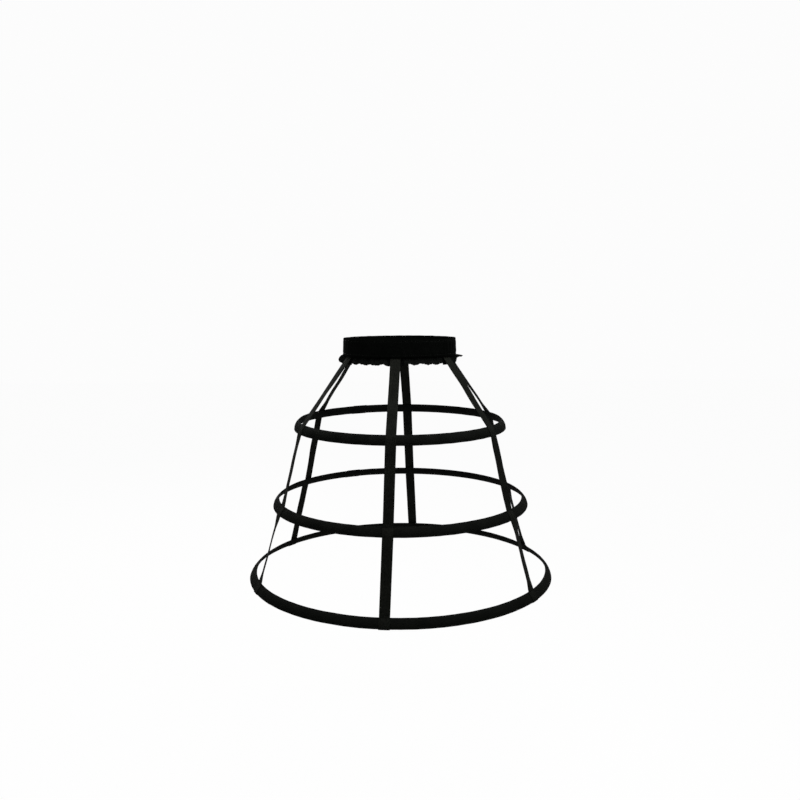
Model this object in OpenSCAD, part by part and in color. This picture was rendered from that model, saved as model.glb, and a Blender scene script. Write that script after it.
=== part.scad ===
// Crinoline cage: three boned hoops hang from an elastic waistband on six ribbon straps.
// Millimetres, +Z up. The origin is the middle of the waist opening, and the front faces -Y.

/* [Waistband] */
// Width of the oval waistband, outside
waist_w = 240; // [210:1:300]
// Depth of the oval waistband from front to back, outside
waist_d = 180; // [160:1:240]
// Height of the waistband
band_h = 36; // [25:1:50]
// Thickness of the waistband's elastic
band_t = 2; // [1.5:0.1:3]
// Gathers in the waistband's face between one strap and the next
band_gathers = 10; // [6:1:12]
// Height of one gather above the waistband's face
band_puff = 0.6; // [0.2:0.1:1]
// Height of the flat edge sewn along the top and foot of the waistband
band_hem = 4; // [2:0.5:8]

/* [Ruffle] */
// Length of the frill from the waistband's lower edge to its free edge
frill_l = 18; // [10:1:22]
// Height of the gathered header sewn behind the waistband
header_h = 8; // [5:1:14]
// Thickness of the ruffle's cloth
ruffle_t = 0.8; // [0.5:0.1:1.2]
// Gathers in the frill between one strap and the next
gathers = 4; // [2:1:5]
// Lean of the frill out from the vertical under a strap and between two gathers, in degrees
lean_in = 12; // [5:1:18]
// Lean of the frill on the crest of a gather, in degrees
lean_out = 46; // [30:1:55]
// Width of frill that lies flat beside each edge of a strap
frill_flat = 2; // [1:0.5:5]
// Width over which the header steps in to pass behind a strap
header_ramp = 5; // [4:0.5:9]

/* [Straps] */
// Width of the ribbon
strap_w = 21; // [15:1:28]
// Thickness of the ribbon
strap_t = 1; // [0.6:0.1:1.4]
// Length of ribbon tucked up behind the waistband
strap_tuck = 10; // [6:1:16]
// Length of ribbon that hangs straight below the waistband before it turns out
strap_drop = 1.5; // [1:0.1:3]
// Turn of all the straps about the waist, away from the middle of the front, in degrees
strap_turn = -4; // [-20:1:20]
// Further turn of the straps from the waist down to the bottom hoop, in degrees
strap_sway = -1.5; // [-4:0.5:4]
// How far a strap is drawn round the casing on each side of a hoop, in degrees of its crown
strap_hug = 8; // [3:1:12]

/* [Hoops] */
// Diameter of the top hoop at the middle of its casing
top_hoop_d = 444; // [400:1:480]
// Diameter of the middle hoop at the middle of its casing
middle_hoop_d = 538; // [500:1:580]
// Diameter of the bottom hoop at the middle of its casing
bottom_hoop_d = 643; // [600:1:720]
// Drop from the waistline to the top hoop
top_drop = 165; // [140:1:200]
// Drop from the top hoop to the middle one
middle_drop = 166; // [120:1:200]
// Drop from the middle hoop to the bottom one
bottom_drop = 157; // [120:1:200]
// Thickness of the padded tape over the bone
casing_wall = 1.3; // [1:0.1:2.5]
// Width of the sewn margin on each side of the bone's channel
casing_margin = 4.3; // [3:0.1:7]
// Thickness of the casing's sewn edges
casing_edge_t = 1.8; // [1.2:0.1:2.4]
// Further lean of the middle and bottom casings, out from the slope of the straps, in degrees
casing_lean = 18; // [0:1:20]

/* [Bones] */
// Width of the spring steel strip, over its coat
bone_w = 12; // [9:0.5:15]
// Thickness of the spring steel strip, over its coat
bone_t = 2.4; // [1.2:0.1:3]
// Gap between the two ends of a strip, inside the sleeve
bone_gap = 2; // [1:0.5:6]
// Length of the crimped sleeve that joins the ends
sleeve_l = 30; // [20:1:50]
// Wall of the sleeve
sleeve_wall = 0.4; // [0.3:0.05:0.8]
// Place of the sleeves around the hoops, in degrees from the front
sleeve_at = 206; // [190:1:225]

/* [Fits] */
// Room between layers of cloth
cloth_fit = 0.2; // [0.1:0.05:0.4]
// Room between a strip and its sleeve
sleeve_fit = 0.1; // [0.05:0.05:0.2]
// Room between a sleeve and the casing's channel
channel_fit = 0.2; // [0.1:0.05:0.4]

/* [Hidden] */

$fn = 144;
straps = 6;
strap_step = 360 / straps;
across = 4;             // spans across a ribbon
reach_rows = 4;         // spans of ribbon between the waist and the top hoop
wrap_rows = 4;          // spans of ribbon around one curve of a casing
frill_rows = 3;         // spans from the frill's seam to its free edge
frill_stations = 40;    // sections of ruffle between one strap and the next
puff_stations = 4;      // sections of waistband in one gather

band_black = "#0e0f0e";
ruffle_black = "#141513";
ribbon_black = "#1c1d1b";
tape_black = "#181917";
bone_white = "#cfcfc8";
crimp = "#8f9296";

// Inner oval of the waistband
oval_a = waist_w / 2 - band_t;
oval_b = waist_d / 2 - band_t;
band_foot = -band_h / 2;
strap_exit = band_foot - strap_drop;
strap_in = cloth_fit + strap_t;

// Bone, sleeve, channel and casing, nested from the inside out
sleeve_in_w = bone_w + 2 * sleeve_fit;
sleeve_in_t = bone_t + 2 * sleeve_fit;
sleeve_out_w = sleeve_in_w + 2 * sleeve_wall;
sleeve_out_t = sleeve_in_t + 2 * sleeve_wall;
channel_w = sleeve_out_w + 2 * channel_fit;
channel_t = sleeve_out_t + 2 * channel_fit;
casing_w = channel_w + 2 * casing_margin;
casing_t = channel_t + 2 * casing_wall;

// Crown of the casing: an arc that ends on the round of each sewn edge
edge_r = casing_edge_t / 2;
edge_at = casing_w / 2 - edge_r;
crown_rise = casing_t / 2 - edge_r;
crown_r = (edge_at * edge_at + crown_rise * crown_rise) / (2 * crown_rise);
crown_in = crown_r - casing_t / 2;
crown_half = asin(edge_at / crown_r);
wrap_r = crown_r + cloth_fit;

// Hoops as [radius, height, tilt]. A casing leans as the straps above and below it do on average
mean_waist_r = (oval_a + oval_b) / 2;
upper_slope = atan2(top_hoop_d / 2 - mean_waist_r, top_drop + strap_exit);
middle_slope = atan2((middle_hoop_d - top_hoop_d) / 2, middle_drop);
lower_slope = atan2((bottom_hoop_d - middle_hoop_d) / 2, bottom_drop);
top_hoop = [top_hoop_d / 2, -top_drop, (upper_slope + middle_slope) / 2];
middle_hoop = [middle_hoop_d / 2, -top_drop - middle_drop, (middle_slope + lower_slope) / 2 + casing_lean];
bottom_hoop = [bottom_hoop_d / 2, -top_drop - middle_drop - bottom_drop, lower_slope + casing_lean];

function degrees(arc, radius) = arc / radius * 180 / PI;
function around(azimuth, r, z) = [r * sin(azimuth), -r * cos(azimuth), z];
function polar(centre, r, angle) = centre + r * [cos(angle), sin(angle)];
function mix(p, q, share) = p * (1 - share) + q * share;
function clamp(x) = min(1, max(0, x));
function smooth(x) = x * x * (3 - 2 * x);

// Middle of a hoop's section, and the centres of its outer and inner crowns
function middle_of(hoop) = [hoop[0], hoop[1]];
function outer_crown(hoop) = polar(middle_of(hoop), -crown_in, hoop[2]);
function inner_crown(hoop) = polar(middle_of(hoop), crown_in, hoop[2]);
function lower_edge(hoop) = polar(middle_of(hoop), edge_at, hoop[2] - 90);

// Waist oval at an angle from the front: arc length in each radian, and a point set in from the band
function oval_speed(t) = norm([oval_a * cos(t), oval_b * sin(t)]);
function oval_out(t) = [oval_b * sin(t), -oval_a * cos(t)] / norm([oval_b * sin(t), oval_a * cos(t)]);
function oval_point(t, inset, z) =
    let (p = [oval_a * sin(t), -oval_b * cos(t)] - inset * oval_out(t))
    [p[0], p[1], z];

// One closed section of the waistband, with its outer face puffed out between the sewn edges
function band_section(t, puff) = [
    oval_point(t, -band_t, band_h / 2),
    oval_point(t, -band_t - puff, band_h / 2 - band_hem),
    oval_point(t, -band_t - puff, band_foot + band_hem),
    oval_point(t, -band_t, band_foot),
    oval_point(t, 0, band_foot),
    oval_point(t, 0, band_h / 2)
];

// One closed section of a ribbon: the inner face's points, then the outer face's points back again
function lateral(i) = strap_w * (i / across - 1 / 2);
function waist_section(azimuth, z) =
    let (turn = [for (i = [0 : across]) azimuth + degrees(lateral(i), oval_speed(azimuth))])
    concat(
        [for (i = [0 : across]) oval_point(turn[i], strap_in, z)],
        [for (i = [across : -1 : 0]) oval_point(turn[i], cloth_fit, z)]
    );
function hoop_section(azimuth, hoop, centre, r, angle) =
    let (
        turn = [for (i = [0 : across]) azimuth + degrees(lateral(i), hoop[0])],
        near = polar(centre, r, angle),
        far = polar(centre, r + strap_t, angle)
    )
    concat(
        [for (i = [0 : across]) around(turn[i], near[0], near[1])],
        [for (i = [across : -1 : 0]) around(turn[i], far[0], far[1])]
    );
function curve_sections(azimuth, hoop, centre, r, from, to) =
    let (turned = azimuth + strap_sway * hoop[1] / bottom_hoop[1])
    [for (i = [0 : wrap_rows]) hoop_section(turned, hoop, centre, r, mix(from, to, i / wrap_rows))];

// Angle at which a straight run touches the crown of a hoop
function run_angle(upper, lower) =
    let (run = outer_crown(lower) - outer_crown(upper))
    90 + atan2(run[1], run[0]);
function reach_angle(azimuth, hoop) =
    let (
        start = oval_point(azimuth, strap_in, strap_exit),
        flat = [start[0] * sin(azimuth) - start[1] * cos(azimuth), start[2]],
        run = flat - outer_crown(hoop)
    )
    atan2(run[1], run[0]) - acos(wrap_r / norm(run));

// A ribbon from behind the waistband, over the top and middle hoops, and round under the bottom one
function strap_sections(azimuth) =
    let (
        head = waist_section(azimuth, band_foot + strap_tuck),
        exit = waist_section(azimuth, strap_exit),
        onto_top = reach_angle(azimuth, top_hoop) + strap_hug,
        to_middle = run_angle(top_hoop, middle_hoop),
        to_bottom = run_angle(middle_hoop, bottom_hoop),
        tilt = bottom_hoop[2],
        over_top = curve_sections(
            azimuth, top_hoop, outer_crown(top_hoop), wrap_r, onto_top, to_middle - strap_hug
        ),
        over_middle = curve_sections(
            azimuth, middle_hoop, outer_crown(middle_hoop), wrap_r,
            middle_hoop[2] + crown_half - strap_hug, to_bottom - strap_hug
        ),
        down_bottom = curve_sections(
            azimuth, bottom_hoop, outer_crown(bottom_hoop), wrap_r,
            tilt + crown_half - strap_hug, tilt - crown_half
        ),
        under_bottom = curve_sections(
            azimuth, bottom_hoop, lower_edge(bottom_hoop), edge_r + cloth_fit,
            tilt - crown_half, tilt + crown_half - 180
        ),
        up_inside = curve_sections(
            azimuth, bottom_hoop, inner_crown(bottom_hoop), wrap_r,
            tilt + crown_half - 180, tilt - 180
        ),
        reach = [for (i = [1 : reach_rows - 1]) mix(exit, over_top[0], i / reach_rows)]
    )
    concat([head, exit], reach, over_top, over_middle, down_bottom, under_bottom, up_inside);

// Ruffle: the part of the way between two straps, the lean of its frill, and the header's step
function strap_half_turn(azimuth, margin) = degrees(strap_w / 2 + margin, oval_speed(azimuth));
function frill_lean(azimuth, turn) =
    let (
        flat_before = strap_half_turn(azimuth, frill_flat),
        flat_after = strap_half_turn(azimuth + strap_step, frill_flat),
        share = clamp((turn - flat_before) / (strap_step - flat_before - flat_after))
    )
    mix(lean_in, lean_out, pow(sin(180 * gathers * share), 2));
function header_step(azimuth, turn) =
    let (
        before = degrees(header_ramp, oval_speed(azimuth)),
        after = degrees(header_ramp, oval_speed(azimuth + strap_step)),
        leaving = clamp((turn - strap_half_turn(azimuth, 1)) / before),
        coming = clamp((strap_step - turn - strap_half_turn(azimuth + strap_step, 1)) / after)
    )
    1 - smooth(min(leaving, coming));
function frill_run(lean, rows) =
    rows == 0 ? [0, 0]
    : let (angle = lean * 2 * rows / (frill_rows + 1))
      frill_run(lean, rows - 1) + frill_l / frill_rows * [sin(angle), -cos(angle)];
function ruffle_section(azimuth, turn) =
    let (
        t = azimuth + turn,
        inset = cloth_fit + header_step(azimuth, turn) * (strap_t + cloth_fit),
        lean = frill_lean(azimuth, turn),
        seam = band_foot - cloth_fit,
        runs = [for (i = [0 : frill_rows]) frill_run(lean, i)],
        across_edge = ruffle_t * [cos(lean), sin(lean)],
        outer = [for (run = runs) oval_point(t, inset - run[0], seam + run[1])],
        inner = [
            for (i = [0 : frill_rows])
                let (skin = mix([ruffle_t, 0], across_edge, i / frill_rows))
                oval_point(t, inset - runs[i][0] + skin[0], seam + runs[i][1] - skin[1])
        ]
    )
    concat(
        [oval_point(t, inset, band_foot + header_h)], outer,
        [for (i = [frill_rows : -1 : 0]) inner[i]], [oval_point(t, inset + ruffle_t, band_foot + header_h)]
    );

// A skin over closed sections, in a ring or with its two ends capped
module skin(sections, ring) {
    rows = len(sections);
    points = len(sections[0]);
    half = points / 2;
    sides = [
        for (i = [0 : rows - (ring ? 1 : 2)], j = [0 : points - 1])
            let (i2 = (i + 1) % rows, j2 = (j + 1) % points)
            each [
                [i * points + j, i2 * points + j, i2 * points + j2],
                [i * points + j, i2 * points + j2, i * points + j2]
            ]
    ];
    last = (rows - 1) * points;
    caps = ring ? [] : [
        for (j = [0 : half - 2])
            each [
                [j, j + 1, points - 2 - j, points - 1 - j],
                [last + j + 1, last + j, last + points - 1 - j, last + points - 2 - j]
            ]
    ];
    polyhedron([for (section = sections) each section], concat(sides, caps));
}

module waistband() {
    stations = straps * band_gathers * puff_stations;
    color(band_black)
        skin([
            for (i = [0 : stations - 1])
                band_section(strap_turn + i * 360 / stations, band_puff * pow(sin(180 * i / puff_stations), 2))
        ], true);
}

module ruffle() {
    color(ruffle_black)
        skin([
            for (gap = [0 : straps - 1], i = [0 : frill_stations - 1])
                ruffle_section(strap_turn + gap * strap_step, i * strap_step / frill_stations)
        ], true);
}

module strap(place) {
    color(ribbon_black)
        skin(strap_sections(strap_turn + place * strap_step), false);
}

// A flat section with round ends, as wide as w along the slope of the hoop
module round_ended(w, t) {
    square([t, w - t], center = true);
    for (side = [-1, 1])
        translate([0, side * (w - t) / 2])
            circle(d = t);
}

// A full ring with its section leant as the hoop is
module ring(hoop) {
    rotate_extrude()
        translate(middle_of(hoop))
            rotate(hoop[2])
                children();
}

// A block across the section, where the two ends of the strip meet
module joint_block(hoop, length) {
    rotate(sleeve_at - 90)
        translate([hoop[0], 0, hoop[1]])
            cube([2 * casing_w, length, 2 * casing_w], center = true);
}

module hoop_casing(hoop) {
    color(tape_black)
        ring(hoop)
            difference() {
                union() {
                    intersection() {
                        translate([-crown_in, 0])
                            circle(crown_r);
                        translate([crown_in, 0])
                            circle(crown_r);
                        square([2 * casing_t, 2 * edge_at + edge_r], center = true);
                    }
                    for (side = [-1, 1])
                        translate([0, side * edge_at])
                            circle(edge_r);
                }
                round_ended(channel_w, channel_t);
            }
}

module hoop_bone(hoop) {
    color(bone_white)
        difference() {
            ring(hoop)
                round_ended(bone_w, bone_t);
            joint_block(hoop, bone_gap);
        }
}

module bone_sleeve(hoop) {
    color(crimp)
        intersection() {
            ring(hoop)
                difference() {
                    round_ended(sleeve_out_w, sleeve_out_t);
                    round_ended(sleeve_in_w, sleeve_in_t);
                }
            joint_block(hoop, sleeve_l);
        }
}

waistband();
ruffle();
strap(0);  // strap_front
strap(1);  // strap_front_right
strap(2);  // strap_back_right
strap(3);  // strap_back
strap(4);  // strap_back_left
strap(5);  // strap_front_left
hoop_casing(top_hoop);  // hoop_casing_top
hoop_casing(middle_hoop);  // hoop_casing_middle
hoop_casing(bottom_hoop);  // hoop_casing_bottom
hoop_bone(top_hoop);  // hoop_bone_top
hoop_bone(middle_hoop);  // hoop_bone_middle
hoop_bone(bottom_hoop);  // hoop_bone_bottom
bone_sleeve(top_hoop);  // bone_sleeve_top
bone_sleeve(middle_hoop);  // bone_sleeve_middle
bone_sleeve(bottom_hoop);  // bone_sleeve_bottom
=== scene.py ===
import math

import bpy
from mathutils import Matrix, Vector, noise


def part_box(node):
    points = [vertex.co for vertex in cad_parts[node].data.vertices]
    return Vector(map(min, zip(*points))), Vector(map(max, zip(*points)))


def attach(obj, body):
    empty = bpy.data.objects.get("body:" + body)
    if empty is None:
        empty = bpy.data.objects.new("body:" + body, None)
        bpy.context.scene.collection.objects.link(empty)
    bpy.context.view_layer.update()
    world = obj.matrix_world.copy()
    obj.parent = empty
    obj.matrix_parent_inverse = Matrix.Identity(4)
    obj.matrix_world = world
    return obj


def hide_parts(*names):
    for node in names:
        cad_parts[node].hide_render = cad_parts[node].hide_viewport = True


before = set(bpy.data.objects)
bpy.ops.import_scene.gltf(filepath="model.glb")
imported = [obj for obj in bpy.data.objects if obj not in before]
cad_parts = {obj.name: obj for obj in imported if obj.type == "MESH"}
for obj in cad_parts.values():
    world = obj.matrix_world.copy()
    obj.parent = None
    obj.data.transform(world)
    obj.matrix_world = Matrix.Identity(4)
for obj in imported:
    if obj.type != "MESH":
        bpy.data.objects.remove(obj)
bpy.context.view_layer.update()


# Hoop bones and their sleeves: strips of spring steel in a white nylon coat, bent to open rings.
# A crimped steel sleeve joins the two ends of each strip at the back. The casings hide them all,
# so the frame's own solids stay and only get their finish here.
MM = 0.001
LEVELS = ("top", "middle", "bottom")


def linear(colour):
    """An sRGB hex colour as linear red, green, blue and alpha."""
    parts = [int(colour[i:i + 2], 16) / 255 for i in (1, 3, 5)]
    return [c / 12.92 if c <= 0.04045 else ((c + 0.055) / 1.055) ** 2.4 for c in parts] + [1]


def new_material(name, **sockets):
    """A material whose shader has these values, with the words of each socket's name joined by _."""
    material = bpy.data.materials.new(name)
    material.use_nodes = True
    shader = material.node_tree.nodes["Principled BSDF"]
    for socket, value in sockets.items():
        shader.inputs[socket.replace("_", " ")].default_value = value
    return material, material.node_tree, shader


def add_node(tree, kind, sockets=None, links=None, **settings):
    """A node with its settings, the values of its sockets and the links that come into it."""
    node = tree.nodes.new(kind)
    for name, value in settings.items():
        setattr(node, name, value)
    for socket, value in (sockets or {}).items():
        node.inputs[socket].default_value = value
    for socket, source in (links or {}).items():
        tree.links.new(source, node.inputs[socket])
    return node


def two_shades(tree, shader, colours, patch, detail, ends=(0, 1), weave=None, weight=0):
    """Colours a material from dark to light in soft patches of this size, with a share of its weave
    added where it has one, and gives the patches back."""
    spots = add_node(tree, "ShaderNodeTexCoord")
    patches = add_node(
        tree, "ShaderNodeTexNoise", {"Scale": 1 / patch, "Detail": detail},
        {"Vector": spots.outputs["Object"]})
    shade = patches.outputs["Fac"]
    if weave is not None:
        mixed = add_node(
            tree, "ShaderNodeMath", {1: weight}, {0: weave, 2: shade}, operation="MULTIPLY_ADD")
        shade = mixed.outputs["Value"]
    tint = add_node(tree, "ShaderNodeValToRGB", links={"Fac": shade})
    for stop, colour, position in zip(tint.color_ramp.elements, colours, ends):
        stop.position = position
        stop.color = linear(colour)
    tree.links.new(tint.outputs["Color"], shader.inputs["Base Color"])
    return patches.outputs["Fac"]


# Extruded nylon: a soft shine, slightly cloudy where the coat is thicker
nylon, tree, shader = new_material("nylon_coat", Roughness=0.42, IOR=1.53)
two_shades(tree, shader, ("#c2c3bb", "#d8d8d1"), patch=14 * MM, detail=3)

# Plated mild steel, rolled and crimped: fine streaks and small dull patches
crimped_steel, tree, shader = new_material("crimped_steel", Metallic=1)
streaks = two_shades(tree, shader, ("#7d8084", "#a0a3a7"), patch=0.8 * MM, detail=4)
dull = add_node(tree, "ShaderNodeMapRange", {"To Min": 0.28, "To Max": 0.46}, {"Value": streaks})
tree.links.new(dull.outputs["Result"], shader.inputs["Roughness"])

for level in LEVELS:
    for part, finish in (("hoop_bone_", nylon), ("bone_sleeve_", crimped_steel)):
        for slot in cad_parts[part + level].material_slots:
            slot.material = finish


# Hoop casings: tubes of black woven tape, folded round each bone and sewn shut along a flat margin
# at both edges. The bone holds the middle of the tape out in a soft roll, and the two sewing lines
# draw small puckers into it.
CASING_W = 22 * MM
CASING_T = 6.4 * MM
CASING_FLAT = 2 * CASING_W + 2 * MM
CASING_STEP = 3 * MM
TAPE_T = 0.6 * MM
EDGE_T = 1.8 * MM
EDGE_R = EDGE_T / 2
EDGE_AT = CASING_W / 2 - EDGE_R
CROWN_RISE = CASING_T / 2 - EDGE_R
SEAM_AT = 8.3 * MM
SEAM_HALF = 0.7 * MM
SEAM_DENT = 0.34 * MM
# Steps of the section from the middle of the tape's face to its edge, closest at the seam
HALF_FACE = [u * MM for u in (2.6, 4.8, 6.3, 7.3, 7.9, 8.3, 8.7, 9.2, 10, 10.7, 11)]
FACE = [-u for u in reversed(HALF_FACE)] + [0] + HALF_FACE
SECTION_STEPS = 2 * (len(FACE) - 1)
# Height and length of the puckers beside the seams and of the waves in the roll and at the edges.
# They fade out beside the straps, which press the tape smooth.
PUCKER_H = 0.34 * MM
PUCKER_L = 6 * MM
ROLL_WAVE_H = 0.25 * MM
ROLL_WAVE_L = 26 * MM
EDGE_WAVE_H = 0.3 * MM
EDGE_WAVE_L = 18 * MM
PRESSED_HALF = 13 * MM
PRESSED_FADE = 9 * MM
# The casings lean as the straps beside them do on average, and the lower two lean out further.
# The bottom one is turned over a little more at one side.
CASING_LEAN = math.radians(18)
BOTTOM_TURN = math.radians(8)
TURNED_AT = math.radians(272)
TURNED_HALF = math.radians(14)
# The straps stand at equal steps around the waist and turn a little further on the way down. Each
# first hangs straight below the waistband.
STRAPS = 6
STRAP_TURN = math.radians(-4)
STRAP_SWAY = math.radians(-1.5)
STRAP_DROP = 1.5 * MM
# Thickness of the frame's solid waistband, over its gathers
SOLID_BAND_T = 2.6 * MM


def hoop_of(level):
    """Radius and height of a hoop at the middle of its casing, from the frame's solid."""
    points = [v.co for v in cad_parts["hoop_casing_" + level].data.vertices]
    reach = [math.hypot(p.x, p.y) for p in points]
    heights = [p.z for p in points]
    return {"r": (min(reach) + max(reach)) / 2, "z": (min(heights) + max(heights)) / 2}


def slope(upper_r, upper_z, lower):
    """Lean of the straps from a higher place down to a hoop."""
    return math.atan2(lower["r"] - upper_r, upper_z - lower["z"])


hoops = {level: hoop_of(level) for level in LEVELS}
waist_low, waist_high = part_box("waistband")
mean_waist = (waist_high.x + waist_high.y) / 2 - SOLID_BAND_T
upper_slope = slope(mean_waist, waist_low.z - STRAP_DROP, hoops["top"])
middle_slope = slope(hoops["top"]["r"], hoops["top"]["z"], hoops["middle"])
lower_slope = slope(hoops["middle"]["r"], hoops["middle"]["z"], hoops["bottom"])
hoops["top"]["tilt"] = (upper_slope + middle_slope) / 2
hoops["middle"]["tilt"] = (middle_slope + lower_slope) / 2 + CASING_LEAN
hoops["bottom"]["tilt"] = lower_slope + CASING_LEAN


def clamp(x):
    """The nearest value from 0 to 1."""
    return min(1, max(0, x))


def smooth(x):
    """A soft step from 0 to 1."""
    x = clamp(x)
    return x * x * (3 - 2 * x)


def hump(off, half):
    """1 at a place, falling away softly to both sides over a half width."""
    return math.exp(-(off / half) ** 2)


def uneven(azimuth, size, seed):
    """Soft noise around the object that closes on itself, with features of about 1 / size of a radian."""
    return noise.noise(Vector((math.sin(azimuth) * size, math.cos(azimuth) * size, seed)))


def sway(hoop):
    """Further turn of the straps about the waist by the time they reach a hoop."""
    return STRAP_SWAY * hoop["z"] / hoops["bottom"]["z"]


def off_strap(azimuth, hoop):
    """Distance along a hoop from the middle of the nearest strap."""
    step = math.tau / STRAPS
    turn = (azimuth - STRAP_TURN - sway(hoop)) % step
    return min(turn, step - turn) * hoop["r"]


def around(azimuth, r, z):
    """A point at an angle from the front, at this distance from the axis."""
    return Vector((r * math.sin(azimuth), -r * math.cos(azimuth), z))


def casing_place(hoop, turn_over, seed):
    """Point of a casing by the way around the hoop and the way around its section, each from 0 to 1.
    In the section, u goes across the tape and v goes out from its middle."""
    last = len(FACE) - 1

    def wave(azimuth, length, shift):
        return uneven(azimuth, hoop["r"] / length, seed + shift)

    def place(along, across):
        azimuth = along * math.tau
        step = (across % 1) * SECTION_STEPS
        face = 1 if step <= last else -1
        step = step if face == 1 else SECTION_STEPS - step
        i = min(int(step), last - 1)
        u = FACE[i] + (FACE[i + 1] - FACE[i]) * (step - i)
        if abs(u) < EDGE_AT:
            v = EDGE_R + CROWN_RISE * (1 - (u / EDGE_AT) ** 2)
        else:
            v = math.sqrt(max(0, EDGE_R ** 2 - (abs(u) - EDGE_AT) ** 2))
        free = smooth((off_strap(azimuth, hoop) - PRESSED_HALF) / PRESSED_FADE)
        to_seam = clamp(abs(u) / SEAM_AT)
        pucker = wave(azimuth, PUCKER_L, 9 * face + (4 if u > 0 else 0))
        v += free * ROLL_WAVE_H * (1 - to_seam) * wave(azimuth, ROLL_WAVE_L, 0)
        v += free * PUCKER_H * pucker * math.sin(math.pi * to_seam) ** 2
        v -= SEAM_DENT * hump(abs(u) - SEAM_AT, SEAM_HALF)
        u += free * EDGE_WAVE_H * wave(azimuth, EDGE_WAVE_L, 30)
        tilt = hoop["tilt"] + turn_over * hump(azimuth - TURNED_AT, TURNED_HALF)
        out = hoop["r"] + face * v * math.cos(tilt) - u * math.sin(tilt)
        return around(azimuth, out, hoop["z"] + face * v * math.sin(tilt) + u * math.cos(tilt))

    return place


WELD = 0.02 * MM
SOFT_EDGE = math.radians(50)


def cloth_piece(name, place, columns, rows, flat, thickness, closed):
    """A grid of cloth put in place point by point and given its thickness, inwards on a closed loop.
    Its UV map is the cloth laid flat, in metres, so that the weave keeps its size."""
    bpy.ops.object.select_all(action="DESELECT")
    bpy.ops.mesh.primitive_grid_add(x_subdivisions=columns, y_subdivisions=rows, size=1)
    piece = bpy.context.object
    piece.name = piece.data.name = name
    ways = [(v.co.x + 0.5, v.co.y + 0.5) for v in piece.data.vertices]
    laid_flat = piece.data.uv_layers.active.data
    for loop in piece.data.loops:
        along, across = ways[loop.vertex_index]
        laid_flat[loop.index].uv = (along * flat[0], across * flat[1])
    for vertex, (along, across) in zip(piece.data.vertices, ways):
        vertex.co = place(along, across)
    if closed:
        bpy.ops.object.mode_set(mode="EDIT")
        bpy.ops.mesh.select_all(action="SELECT")
        bpy.ops.mesh.remove_doubles(threshold=WELD)
        bpy.ops.object.mode_set(mode="OBJECT")
    wall = piece.modifiers.new("Wall", "SOLIDIFY")
    wall.thickness = thickness
    wall.offset = -1 if closed else 0
    bpy.ops.object.modifier_apply(modifier=wall.name)
    bpy.ops.object.shade_smooth_by_angle(angle=SOFT_EDGE)
    return piece


def show(piece, material):
    """Gives a finished piece its material and its place on the object."""
    piece.data.materials.clear()
    piece.data.materials.append(material)
    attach(piece, "root")


def ribs(tree, way, spacing):
    """Waves at this spacing along one way of the cloth laid flat."""
    flat = add_node(tree, "ShaderNodeUVMap")
    ways = add_node(tree, "ShaderNodeSeparateXYZ", links={"Vector": flat.outputs["UV"]})
    turns = add_node(
        tree, "ShaderNodeMath", {1: math.tau / spacing}, {0: ways.outputs[way]}, operation="MULTIPLY")
    wave = add_node(tree, "ShaderNodeMath", links={0: turns.outputs["Value"]}, operation="SINE")
    return wave.outputs["Value"]


# Woven cotton tape, dyed black: a dull cloth with fine ribs across it and next to no sheen.
# The ribs are drawn at 1.8 mm, about twice their real spacing, so that they show at all.
TAPE_RIB = 1.8 * MM
woven_tape, tree, shader = new_material(
    "woven_tape", Roughness=0.75, Specular_IOR_Level=0.006, Sheen_Weight=0.001, Sheen_Roughness=0.5)
rib = ribs(tree, "X", TAPE_RIB)
two_shades(
    tree, shader, ("#090a09", "#121311"), patch=35 * MM, detail=4, ends=(0.2, 0.8),
    weave=rib, weight=0.16)
relief = add_node(tree, "ShaderNodeBump", {"Strength": 0.5, "Distance": 0.3 * MM}, {"Height": rib})
tree.links.new(relief.outputs["Normal"], shader.inputs["Normal"])

casing_places = {}
for number, level in enumerate(LEVELS):
    hoop = hoops[level]
    turn_over = BOTTOM_TURN if level == "bottom" else 0
    casing_places[level] = casing_place(hoop, turn_over, seed=40 * number)
    girth = math.tau * hoop["r"]
    casing = cloth_piece(
        "casing_" + level, casing_places[level], round(girth / CASING_STEP), SECTION_STEPS,
        (girth, CASING_FLAT), TAPE_T, closed=True)
    show(casing, woven_tape)
    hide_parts("hoop_casing_" + level)


# Casing laps: a short length of the same tape wrapped over the place where a casing's two ends meet,
# at the back, over the sleeve. It is sewn down across both of its ends.
LAP_AT = math.radians(206)
LAP_L = 34 * MM
LAP_FLAT = 2 * CASING_W + 4 * MM
LAP_T = 0.5 * MM
LAP_FIT = 0.1 * MM
LAP_COLUMNS = 14
# Small shares of the way along and around, which give the directions of a face
NUDGE_ALONG = 0.0005
NUDGE_AROUND = 0.004


def lap_place(level):
    """Point of a lap by the way along it and around it, just outside the casing that it covers."""
    below = casing_places[level]
    share = LAP_L / math.tau / hoops[level]["r"]

    def place(along, across):
        here = LAP_AT / math.tau + (along - 0.5) * share
        point = below(here, across)
        forward = below(here + NUDGE_ALONG, across) - point
        around_section = below(here, across + NUDGE_AROUND) - below(here, across - NUDGE_AROUND)
        return point + forward.cross(around_section).normalized() * (LAP_T + LAP_FIT)

    return place


lap_places = {}
for level in LEVELS:
    lap_places[level] = lap_place(level)
    lap = cloth_piece(
        "casing_lap_" + level, lap_places[level], LAP_COLUMNS, SECTION_STEPS,
        (LAP_L, LAP_FLAT), LAP_T, closed=True)
    show(lap, woven_tape)


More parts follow.
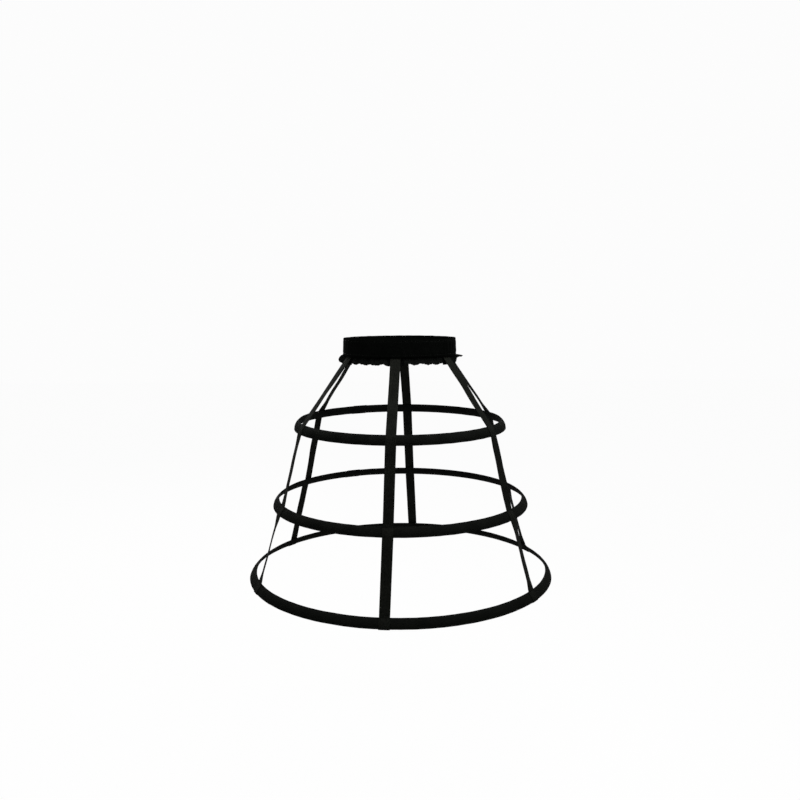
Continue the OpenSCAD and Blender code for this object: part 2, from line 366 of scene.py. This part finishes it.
# Waistband: one loop of wide black elastic with a matte woven face. It was stretched while both
# edges were sewn, so its face stands in small upright gathers between two flat edges.
OVAL_A = 118 * MM
OVAL_B = 88 * MM
BAND_H = 36 * MM
BAND_T = 2 * MM
BAND_WALL = BAND_T - 0.2 * MM
BAND_FOOT = -BAND_H / 2
BAND_FLARE = 1.2 * MM
BAND_HEM = 4 * MM
HEM_HALF = 0.6 * MM
HEM_DENT = 0.3 * MM
BAND_EDGE_R = 1.2 * MM
BAND_EDGE_IN = 0.5 * MM
BAND_EDGE_WAVE = 0.35 * MM
BAND_COLUMNS = 660
BAND_ROWS = 26
# The gathers swell up between the hems. They are uneven, and higher at one side of the front.
BAND_GATHERS = 60
GATHER_SHIFT = 1.4
GATHER_H = 0.32 * MM
GATHER_VARY = 0.2 * MM
GATHER_SLANT = 0.16 * MM
SWELL_FROM = 0.6 * BAND_HEM
SWELL_OVER = 7 * MM
HIGH_AT = math.radians(68)
HIGH_HALF = math.radians(24)
HIGH_BY = 0.75 * MM


def oval(t, out, z):
    """A point at an angle from the front of the waist oval, set out from the band's inner face."""
    normal = Vector((OVAL_B * math.sin(t), -OVAL_A * math.cos(t), 0)).normalized()
    return Vector((OVAL_A * math.sin(t), -OVAL_B * math.cos(t), z)) + normal * out


def oval_speed(t):
    """Length along the waist oval for each radian of its angle."""
    return math.hypot(OVAL_A * math.cos(t), OVAL_B * math.sin(t))


def band_place(along, across):
    """Point of the waistband's outer face by the way around it and up it, each from 0 to 1."""
    t = along * math.tau
    z = BAND_FOOT + BAND_H * across
    edge = min(across, 1 - across) * BAND_H
    swell = smooth((edge - SWELL_FROM) / SWELL_OVER)
    gather = abs(math.sin(BAND_GATHERS / 2 * t + GATHER_SHIFT * uneven(t, 7, seed=3.1)))
    higher = HIGH_BY * hump(t - HIGH_AT, HIGH_HALF)
    height = GATHER_H + GATHER_VARY * uneven(t, 11, seed=8.3) + higher
    slant = GATHER_SLANT * uneven(t, 30, seed=12 + 3 * across)
    rounded = BAND_EDGE_IN * smooth(1 - edge / BAND_EDGE_R)
    dent = HEM_DENT * hump(edge - BAND_HEM, HEM_HALF)
    flare = BAND_FLARE * (1 - across) ** 2
    out = BAND_T + flare + swell * (gather * height + slant) - rounded - dent
    return oval(t, out, z + BAND_EDGE_WAVE * uneven(t, 9, seed=5.7))


# Woven elastic with a spun face: matte, almost no light comes back, fine cords run round the waist.
# The cords are drawn at 2 mm, coarser than the real ones, so that they show in a close view.
ELASTIC_CORD = 2 * MM
woven_elastic, tree, shader = new_material("woven_elastic", Roughness=0.92, Specular_IOR_Level=0.012)
cords = ribs(tree, "Y", ELASTIC_CORD)
two_shades(
    tree, shader, ("#030403", "#070807"), patch=22 * MM, detail=5, ends=(0.25, 0.8),
    weave=cords, weight=0.12)
relief = add_node(tree, "ShaderNodeBump", {"Strength": 0.4, "Distance": 0.25 * MM}, {"Height": cords})
tree.links.new(relief.outputs["Normal"], shader.inputs["Normal"])

band_girth = sum(oval_speed(math.radians(t)) for t in range(360)) * math.radians(1)
waistband = cloth_piece(
    "elastic_waistband", band_place, BAND_COLUMNS, BAND_ROWS,
    (band_girth, BAND_H), BAND_WALL, closed=True)
show(waistband, woven_elastic)
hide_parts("waistband")


# Ruffle: a strip of thin black cloth, gathered along a header that is sewn behind the foot of the
# waistband. The straps press it flat where they cross it, and it flares out in folds between them.
FRILL_L = 18 * MM
HEADER_H = 8 * MM
RUFFLE_T = 0.5 * MM
RUFFLE_COLUMNS = 720
RUFFLE_ROWS = 22
CLOTH_FIT = 0.2 * MM
STRAP_W = 21 * MM
STRAP_T = 1 * MM
# The frill lies flat at a strap and opens beside it, and the header steps in to pass behind the strap
FLAT_HALF = STRAP_W / 2 + 2 * MM
OPENS_OVER = 7 * MM
BEHIND_HALF = STRAP_W / 2 + 1 * MM
BEHIND_FADE = 5 * MM
# Each fold leans out between these angles. It curls, so it leans less at the seam and more at the edge.
FOLDS = 4
FOLD_SHIFT = 0.9
LEAN_IN = math.radians(12)
LEAN_OUT = math.radians(46)
LEAN_MEAN = 0.92
LEAN_VARY = 0.35
SEAM_SHARE = 0.35
EDGE_SHARE = 1.65
LEAST_CURL = 1e-6
# At one side the frill hangs close and a narrow fold of it stands straight out. At the other side it
# puffs out and droops. Each of these has its place and half width around the waist, its lean at the
# seam and at the free edge, all in degrees, and how far the frill is caught up beside it.
FLICKS = ((90, 26, 4, 14, 0), (90, 8, 88, 74, 0.5), (263, 16, 100, 0, 0))
# Small pleats crimp the header and the frill, and the free edge flutters
PLEAT_L = 5.6 * MM
PLEAT_SHIFT = 3
HEADER_CRIMP = 0.22 * MM
CRIMP_H = 0.6 * MM
CRIMP_OVER = 3 * MM
CRIMP_LOSS = 0.2
FLUTTER = 1.1 * MM
EDGE_SHIFT = 0.9 * MM


def frill_bend(t, share, open_here):
    """Lean of the frill at its seam and at its free edge, and how far it is caught up there."""
    fold = math.sin(math.pi * FOLDS * share + FOLD_SHIFT * open_here * uneven(t, 5, seed=2.2)) ** 2
    flared = (1 + fold) / 2 * open_here * (LEAN_MEAN + LEAN_VARY * uneven(t, 8, seed=6.4))
    lean = LEAN_IN + (LEAN_OUT - LEAN_IN) * flared
    start, edge, caught = SEAM_SHARE * lean, EDGE_SHARE * lean, 0
    for middle, half, at_seam, at_edge, catch in FLICKS:
        here = open_here * math.exp(-((math.degrees(t) - middle) / half) ** 4)
        start += (math.radians(at_seam) - start) * here
        edge += (math.radians(at_edge) - edge) * here
        caught += catch * 4 * here * (1 - here)
    return start, edge, caught


def ruffle_place(along, across):
    """Point of the ruffle by the way around it and up it, each from 0 to 1.
    The cloth's length from the seam is s, down to the free edge and, below 0, up the header."""
    t = along * math.tau
    step = math.tau / STRAPS
    turn = (t - STRAP_TURN) % step
    speed = oval_speed(t)
    from_strap = min(turn, step - turn) * speed
    behind = 1 - smooth((from_strap - BEHIND_HALF) / BEHIND_FADE)
    inset = CLOTH_FIT + behind * (STRAP_T + CLOTH_FIT)
    sunk = HEADER_CRIMP * (1 - behind)
    pleat = math.sin(t * band_girth / PLEAT_L + PLEAT_SHIFT * uneven(t, 9, seed=1.7))
    seam_z = BAND_FOOT - CLOTH_FIT
    s = (FRILL_L + HEADER_H) * (1 - across) - HEADER_H
    if s <= 0:
        return oval(t, -inset - sunk * (1 + pleat), seam_z - s)
    share = clamp((turn * speed - FLAT_HALF) / (step * speed - 2 * FLAT_HALF))
    open_here = smooth((from_strap - FLAT_HALF) / OPENS_OVER)
    start, edge, caught = frill_bend(t, share, open_here)
    s *= 1 - caught
    rate = (edge - start) / FRILL_L or LEAST_CURL
    bend = start + rate * s
    out = (math.cos(start) - math.cos(bend)) / rate
    down = (math.sin(bend) - math.sin(start)) / rate
    loose = smooth(s / CRIMP_OVER)
    crimp = CRIMP_H * open_here * pleat * loose * (1 - CRIMP_LOSS * s / FRILL_L)
    flutter = FLUTTER * open_here * uneven(t, 34, seed=9.9) * (s / FRILL_L) ** 2
    lift = crimp + flutter - sunk * (1 - loose)
    shift = EDGE_SHIFT * open_here * uneven(t, 12, seed=4.4) * s / FRILL_L
    return oval(
        t + shift / speed, -inset + out + lift * math.cos(bend), seam_z - down + lift * math.sin(bend))


# Thin plain-woven polyester, dyed black: dull with a soft light along the folds.
# The weave is drawn at 1 mm, coarser than the real one, so that it shows in a close view.
WEAVE = 1 * MM
thin_cloth, tree, shader = new_material("thin_black_cloth", Roughness=0.75, Specular_IOR_Level=0.006)
warp = ribs(tree, "X", WEAVE)
weft = ribs(tree, "Y", WEAVE)
crossed = add_node(tree, "ShaderNodeMath", links={0: warp, 1: weft}, operation="MULTIPLY")
weave = crossed.outputs["Value"]
two_shades(
    tree, shader, ("#060706", "#0c0d0c"), patch=12 * MM, detail=3, ends=(0.25, 0.8),
    weave=weave, weight=0.1)
relief = add_node(tree, "ShaderNodeBump", {"Strength": 0.3, "Distance": 0.12 * MM}, {"Height": weave})
tree.links.new(relief.outputs["Normal"], shader.inputs["Normal"])

ruffle = cloth_piece(
    "gathered_ruffle", ruffle_place, RUFFLE_COLUMNS, RUFFLE_ROWS,
    (band_girth, FRILL_L + HEADER_H), RUFFLE_T, closed=True)
show(ruffle, thin_cloth)
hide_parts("ruffle")


# Straps: six lengths of black ribbed ribbon, sewn behind the waistband, over the top and middle
# hoops and round under the bottom one. Each turns from the waist's oval to the round of the hoops,
# and most are twisted a little on the way down.
STRAP_EXIT = BAND_FOOT - STRAP_DROP
STRAP_TUCK = 10 * MM
STRAP_STEP = 2 * MM
STRAP_ROWS = 12
RIBBON_T = 0.9 * STRAP_T
RIBBON_LIFT = CLOTH_FIT + STRAP_T / 2
# A casing's rounded face as an arc, and how much further than a straight run a ribbon hugs it
CROWN_R = (EDGE_AT ** 2 + CROWN_RISE ** 2) / (2 * CROWN_RISE)
CROWN_IN = CROWN_R - CASING_T / 2
CROWN_HALF = math.asin(EDGE_AT / CROWN_R)
CROWN_STEPS = 8
UNDER_STEPS = 8
INSIDE_STEPS = 6
HUG = math.radians(8)
# Turn of each ribbon, in degrees, on its runs from the waist to the top hoop and from hoop to hoop
TWISTS = {
    "front": (1, -2, 2), "front_right": (0, -6, 12), "back_right": (-12, -3, -14),
    "back": (3, -2, 4), "back_left": (14, 0, 2), "front_left": (0, -6, -12)}
# A stretch without a bend that is longer than this is a run. It twists in over a share of its length,
# and it waves and rolls a little where it is slack.
RUN_MIN = 30 * MM
TWIST_IN = 0.2
SLACK_WAVE_H = 1.3 * MM
SLACK_WAVE_L = 55 * MM
SLACK_WAVE_SKEW = 0.3
SLACK_ROLL_H = 1.6 * MM
SLACK_ROLL_L = 80 * MM


def polar(hoop, away, aim, r, angle):
    """Radius and height of a point at r and angle from a centre that is set off from a hoop's middle."""
    return (hoop["r"] + away * math.cos(aim) + r * math.cos(angle),
            hoop["z"] + away * math.sin(aim) + r * math.sin(angle))


def run_angle(upper, lower):
    """Angle at which a straight run of ribbon leaves one crown and touches the next."""
    x0, z0 = polar(upper, -CROWN_IN, upper["tilt"], 0, 0)
    x1, z1 = polar(lower, -CROWN_IN, lower["tilt"], 0, 0)
    return math.pi / 2 + math.atan2(z1 - z0, x1 - x0)


def reach_angle(azimuth, hoop):
    """Angle at which the ribbon from the waist touches the crown of the top hoop."""
    start = oval(azimuth, -RIBBON_LIFT, STRAP_EXIT)
    x, z = polar(hoop, -CROWN_IN, hoop["tilt"], 0, 0)
    dx = start.x * math.sin(azimuth) - start.y * math.cos(azimuth) - x
    dz = start.z - z
    return math.atan2(dz, dx) - math.acos((CROWN_R + RIBBON_LIFT) / math.hypot(dx, dz))


def ribbon_stations(azimuth):
    """Places that a ribbon passes, each a function of the way off its middle line, and the numbers of
    those in the middle of a hoop's crown."""
    top, middle, bottom = (hoops[level] for level in LEVELS)
    tilt = bottom["tilt"]
    crown = CROWN_R + RIBBON_LIFT
    stations, crowns = [], []

    def at_waist(z):
        return lambda w: oval(azimuth + w / oval_speed(azimuth), -RIBBON_LIFT, z)

    def at_hoop(hoop, out, z):
        return lambda w: around(azimuth + sway(hoop) + w / hoop["r"], out, z)

    def curve(hoop, away, aim, r, first, last, count):
        for i in range(count + 1):
            out, z = polar(hoop, away, aim, r, first + (last - first) * i / count)
            stations.append(at_hoop(hoop, out, z))

    def over_crown(hoop, first, last):
        crowns.append(len(stations) + CROWN_STEPS // 2)
        curve(hoop, -CROWN_IN, hoop["tilt"], crown, first, last, CROWN_STEPS)

    for z in (BAND_FOOT + STRAP_TUCK, BAND_FOOT, STRAP_EXIT):
        stations.append(at_waist(z))
    over_crown(top, reach_angle(azimuth, top) + HUG, run_angle(top, middle) - HUG)
    over_crown(middle, middle["tilt"] + CROWN_HALF - HUG, run_angle(middle, bottom) - HUG)
    outside, inside = tilt - CROWN_HALF, tilt + CROWN_HALF - math.pi
    over_crown(bottom, tilt + CROWN_HALF - HUG, outside)
    curve(bottom, -EDGE_AT, tilt + math.pi / 2, EDGE_R + RIBBON_LIFT, outside, inside, UNDER_STEPS)
    curve(bottom, CROWN_IN, tilt, crown, inside, tilt - math.pi, INSIDE_STEPS)
    return stations, crowns


def ribbon_place(azimuth, twists, seed):
    """Point of a ribbon by the way down it and across it, its length, and where it crosses each hoop."""
    stations, crowns = ribbon_stations(azimuth)
    reached = [0]
    for before, after in zip(stations, stations[1:]):
        reached.append(reached[-1] + (after(0) - before(0)).length)
    length = reached[-1]
    spans = range(len(stations) - 1)
    runs = [k for k in spans if reached[k + 1] - reached[k] > RUN_MIN]

    def place(along, across):
        far = along * length
        i = max(k for k in spans if reached[k] <= max(far, 0))
        share = (far - reached[i]) / (reached[i + 1] - reached[i])
        off = across - 0.5
        before, after = stations[i](off * STRAP_W), stations[i + 1](off * STRAP_W)
        point = before.lerp(after, share)
        if i in runs:
            middle_line = stations[i](0).lerp(stations[i + 1](0), share)
            free = smooth(share / TWIST_IN) * smooth((1 - share) / TWIST_IN)
            twist = math.radians(twists[runs.index(i)]) * free
            point = middle_line + Matrix.Rotation(twist, 3, before - after) @ (point - middle_line)
            slack = math.sin(math.pi * clamp(share)) ** 2
            outward = (after - before).cross(around(azimuth + math.pi / 2, 1, 0)).normalized()
            wave = noise.noise(Vector((far / SLACK_WAVE_L, seed, SLACK_WAVE_SKEW * across)))
            roll = noise.noise(Vector((far / SLACK_ROLL_L, seed + 5, 0))) * off
            point += outward * slack * (SLACK_WAVE_H * wave + SLACK_ROLL_H * roll)
        return point

    return place, length, [reached[k] / length for k in crowns]


# Grosgrain ribbon of polyester: firm ribs across it that catch a little light, and plain close edges.
# The ribs are drawn at 2.2 mm, about twice their real spacing, so that they show at all.
RIBBON_RIB = 2.2 * MM
RIB_END = STRAP_W / 2 - 1.3 * MM
RIB_FADE = 0.6 * MM
grosgrain, tree, shader = new_material(
    "grosgrain_ribbon", Roughness=0.55, Specular_IOR_Level=0.004, Sheen_Weight=0.001, Sheen_Roughness=0.4)
flat = add_node(tree, "ShaderNodeUVMap")
ways = add_node(tree, "ShaderNodeSeparateXYZ", links={"Vector": flat.outputs["UV"]})
from_middle = add_node(
    tree, "ShaderNodeMath", {1: STRAP_W / 2}, {0: ways.outputs["Y"]}, operation="SUBTRACT")
to_edge = add_node(tree, "ShaderNodeMath", links={0: from_middle.outputs["Value"]}, operation="ABSOLUTE")
face = add_node(
    tree, "ShaderNodeMapRange", {"From Min": RIB_END, "From Max": RIB_END - RIB_FADE},
    {"Value": to_edge.outputs["Value"]})
full_width = ribs(tree, "X", RIBBON_RIB)
ribbed = add_node(
    tree, "ShaderNodeMath", links={0: full_width, 1: face.outputs["Result"]}, operation="MULTIPLY")
rib = ribbed.outputs["Value"]
two_shades(
    tree, shader, ("#0e0f0d", "#1a1b18"), patch=30 * MM, detail=4, ends=(0.2, 0.85),
    weave=rib, weight=0.22)
relief = add_node(tree, "ShaderNodeBump", {"Strength": 0.6, "Distance": 0.35 * MM}, {"Height": rib})
tree.links.new(relief.outputs["Normal"], shader.inputs["Normal"])

ribbons = []
for number, (side, twists) in enumerate(TWISTS.items()):
    azimuth = STRAP_TURN + number * math.tau / STRAPS
    place, length, crossings = ribbon_place(azimuth, twists, seed=17 * number)
    strap = cloth_piece(
        "ribbon_" + side, place, round(length / STRAP_STEP), STRAP_ROWS,
        (length, STRAP_W), RIBBON_T, closed=False)
    show(strap, grosgrain)
    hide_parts("strap_" + side)
    ribbons.append((side, place, length, crossings))


# Sewing: rows of black polyester thread. Two rows close each casing and one holds each end of a lap.
# One runs along each edge of the waistband and two go up its back seam. A box of stitches holds each
# ribbon on each hoop.
STITCH_L = 2.7 * MM
STITCH_STEP = 3.6 * MM
THREAD_D = 0.55 * MM
NUDGE_ACROSS = 0.002
# How far the middle of a stitch stands off the face that it is placed on
TAPE_RISE = 0.02 * MM
HEM_RISE = 0.05 * MM
BACK_SEAM_RISE = 0.1 * MM
RIBBON_RISE = RIBBON_T / 2 + 0.02 * MM
# Rows across a lap and up the back seam, as shares of the way along the lap and around the waistband
LAP_ROWS = (0.09, 0.91)
LAP_STITCHES = 14
BACK_SEAM_ROWS = (0.524, 0.536)
BACK_SEAM_STITCHES = [0.06 + 0.098 * i for i in range(10)]
# Stitches of a box across the ribbon, from its edge, and along it, from the middle of the crown
BOX_ACROSS = [(2.6 + 3.16 * i) * MM for i in range(6)]
BOX_ALONG = [3.3 * i * MM for i in range(-2, 3)]
BOX_EDGE = 2.2 * MM

bpy.ops.object.select_all(action="DESELECT")
bpy.ops.mesh.primitive_uv_sphere_add(segments=5, ring_count=3, radius=1)
stitch = bpy.context.object
bpy.ops.object.mode_set(mode="EDIT")
bpy.ops.mesh.select_all(action="SELECT")
bpy.ops.transform.resize(value=(THREAD_D / 2, THREAD_D / 2, STITCH_L / 2), center_override=(0, 0, 0))
bpy.ops.object.mode_set(mode="OBJECT")
stitch_points = [v.co.copy() for v in stitch.data.vertices]
stitch_faces = [list(f.vertices) for f in stitch.data.polygons]
bpy.data.objects.remove(stitch)


def stitches_on(place, ways, lengthwise, rise):
    """Place and direction of each stitch on a cloth face, raised along the face's own normal."""
    spots = []
    for along, across in ways:
        point = place(along, across)
        down = place(along + NUDGE_ALONG, across) - point
        side = place(along, across + NUDGE_ACROSS) - point
        normal = down.cross(side).normalized()
        spots.append((point + normal * rise, (down if lengthwise else side).normalized(), normal))
    return spots


def sewn(name, spots):
    """Makes one piece of all the stitches at these places."""
    points, faces = [], []
    for point, direction, normal in spots:
        turned = Matrix((direction.cross(normal), normal, direction)).transposed()
        base = len(points)
        points += [point + turned @ p for p in stitch_points]
        faces += [[base + k for k in face] for face in stitch_faces]
    mesh = bpy.data.meshes.new(name)
    mesh.from_pydata(points, [], faces)
    piece = bpy.data.objects.new(name, mesh)
    bpy.context.collection.objects.link(piece)
    for face in mesh.polygons:
        face.use_smooth = True
    bpy.ops.object.select_all(action="DESELECT")
    piece.select_set(True)
    bpy.context.view_layer.objects.active = piece
    bpy.ops.object.mode_set(mode="EDIT")
    bpy.ops.mesh.select_all(action="SELECT")
    bpy.ops.mesh.normals_make_consistent(inside=False)
    bpy.ops.object.mode_set(mode="OBJECT")
    show(piece, sewing_thread)


# Spun polyester thread, black: slightly shinier than the cloth. Its twist is drawn as flecks of 0.9 mm,
# coarser than the real one, so that it shows in a close view.
sewing_thread, tree, shader = new_material("sewing_thread", Roughness=0.5, Specular_IOR_Level=0.03)
two_shades(tree, shader, ("#101110", "#1b1c1a"), patch=0.9 * MM, detail=2)

seams = [FACE.index(u) for u in (-SEAM_AT, SEAM_AT)]
seam_rows = [step / SECTION_STEPS for seam in seams for step in (seam, SECTION_STEPS - seam)]
for level in LEVELS:
    count = round(math.tau * hoops[level]["r"] / STITCH_STEP)
    ways = [(i / count, across) for across in seam_rows for i in range(count)]
    spots = stitches_on(casing_places[level], ways, True, TAPE_RISE)
    sewn("casing_stitches_" + level, spots)

    ways = [(end, (i + 0.5) / LAP_STITCHES) for end in LAP_ROWS for i in range(LAP_STITCHES)]
    spots = stitches_on(lap_places[level], ways, False, TAPE_RISE)
    sewn("lap_stitches_" + level, spots)

count = round(band_girth / STITCH_STEP)
hems = (BAND_HEM / BAND_H, 1 - BAND_HEM / BAND_H)
ways = [(i / count, across) for across in hems for i in range(count)]
back_seam = [(row, up) for row in BACK_SEAM_ROWS for up in BACK_SEAM_STITCHES]
spots = stitches_on(band_place, ways, True, HEM_RISE)
spots += stitches_on(band_place, back_seam, False, BACK_SEAM_RISE)
sewn("waistband_stitches", spots)

for side, place, length, crossings in ribbons:
    ends, sides = [], []
    for crossing in crossings:
        for row in (-SEAM_AT, SEAM_AT):
            ends += [(crossing + row / length, across / STRAP_W) for across in BOX_ACROSS]
        for edge in (BOX_EDGE, STRAP_W - BOX_EDGE):
            sides += [(crossing + along / length, edge / STRAP_W) for along in BOX_ALONG]
    spots = stitches_on(place, ends, False, RIBBON_RISE)
    spots += stitches_on(place, sides, True, RIBBON_RISE)
    sewn("ribbon_stitches_" + side, spots)


# Floor: a wide pale sheet of studio paper, far below the hanging cage. It looks white to the camera
# and keeps a soft shadow.
FLOOR_Z = hoops["bottom"]["z"] - 0.45
FLOOR_W = 16
PAPER_GLOW = 0.965


def seen_rays(tree):
    """1 for the rays that see a surface, also in a reflection or through another, and 0 for its light."""
    ray = add_node(tree, "ShaderNodeLightPath").outputs
    seen = ray["Is Camera Ray"]
    for other in ("Is Glossy Ray", "Is Transmission Ray"):
        either = add_node(tree, "ShaderNodeMath", links={0: seen, 1: ray[other]}, operation="MAXIMUM")
        seen = either.outputs["Value"]
    return seen


bpy.ops.object.select_all(action="DESELECT")
bpy.ops.mesh.primitive_plane_add(size=FLOOR_W, location=(0, 0, 0))
floor = bpy.context.object
floor.name = "studio_floor"
for vertex in floor.data.vertices:
    vertex.co.z = FLOOR_Z
paper = bpy.data.materials.new("studio_paper")
paper.use_nodes = True
tree = paper.node_tree
tree.nodes.clear()
share = add_node(tree, "ShaderNodeMath", {1: PAPER_GLOW}, {0: seen_rays(tree)}, operation="MULTIPLY")
matt = add_node(tree, "ShaderNodeBsdfDiffuse", {"Color": linear("#f4f4f2")})
white = add_node(tree, "ShaderNodeEmission", {"Color": linear("#ffffff"), "Strength": 1})
both = add_node(
    tree, "ShaderNodeMixShader",
    links={0: share.outputs["Value"], 1: matt.outputs["BSDF"], 2: white.outputs["Emission"]})
add_node(tree, "ShaderNodeOutputMaterial", links={"Surface": both.outputs["Shader"]})
floor.data.materials.append(paper)


# Light: a soft lamp close above and a wide one from behind at the left, weak ones from the upper
# front right and from the front left, and a white room
ROOM_LIGHT = 0.16
ROOM_SEEN = 0.975
LAMPS_AIM = Vector((0, 0, -0.25))
# Place and width of each lamp in metres, and its power in watts
LAMPS = {
    "key": ((1.6, -1.6, 2.0), 1.4, 6),
    "fill": ((-2.2, -1.6, 0.9), 1.8, 2),
    "top": ((0.25, -0.3, 1.05), 1.0, 26),
    "back": ((-1.2, 2.0, 1.4), 1.6, 34)}

world = bpy.data.worlds.new("studio_room")
bpy.context.scene.world = world
world.use_nodes = True
tree = world.node_tree
tree.nodes.clear()
strength = add_node(
    tree, "ShaderNodeMapRange", {"To Min": ROOM_LIGHT, "To Max": ROOM_SEEN}, {"Value": seen_rays(tree)})
room = add_node(
    tree, "ShaderNodeBackground", {"Color": linear("#ffffff")}, {"Strength": strength.outputs["Result"]})
add_node(tree, "ShaderNodeOutputWorld", links={"Surface": room.outputs["Background"]})

for name, (place, size, power) in LAMPS.items():
    lamp = bpy.data.objects.new(name, bpy.data.lights.new(name, "AREA"))
    lamp.data.size = size
    lamp.data.energy = power
    lamp.location = place
    lamp.rotation_mode = "QUATERNION"
    lamp.rotation_quaternion = (LAMPS_AIM - Vector(place)).to_track_quat("-Z", "Y")
    bpy.context.collection.objects.link(lamp)


# Camera: about 1.8 m in front and a little above the waist, looking down by 7.5 degrees
SENSOR_W = 36
LENS = 37.3095
CAMERA_AT = (0.0004, -1.774, 0.1154)
LOOK_DOWN = math.radians(7.45)
ROLL = math.radians(-0.35)

camera = bpy.data.objects.new("camera", bpy.data.cameras.new("camera"))
camera.data.sensor_width = SENSOR_W
camera.data.lens = LENS
camera.location = CAMERA_AT
facing = Matrix.Rotation(math.pi / 2 - LOOK_DOWN, 3, "X") @ Matrix.Rotation(ROLL, 3, "Z")
camera.rotation_euler = facing.to_euler()
bpy.context.collection.objects.link(camera)
bpy.context.scene.camera = camera
bpy.context.scene.view_settings.view_transform = "Standard"
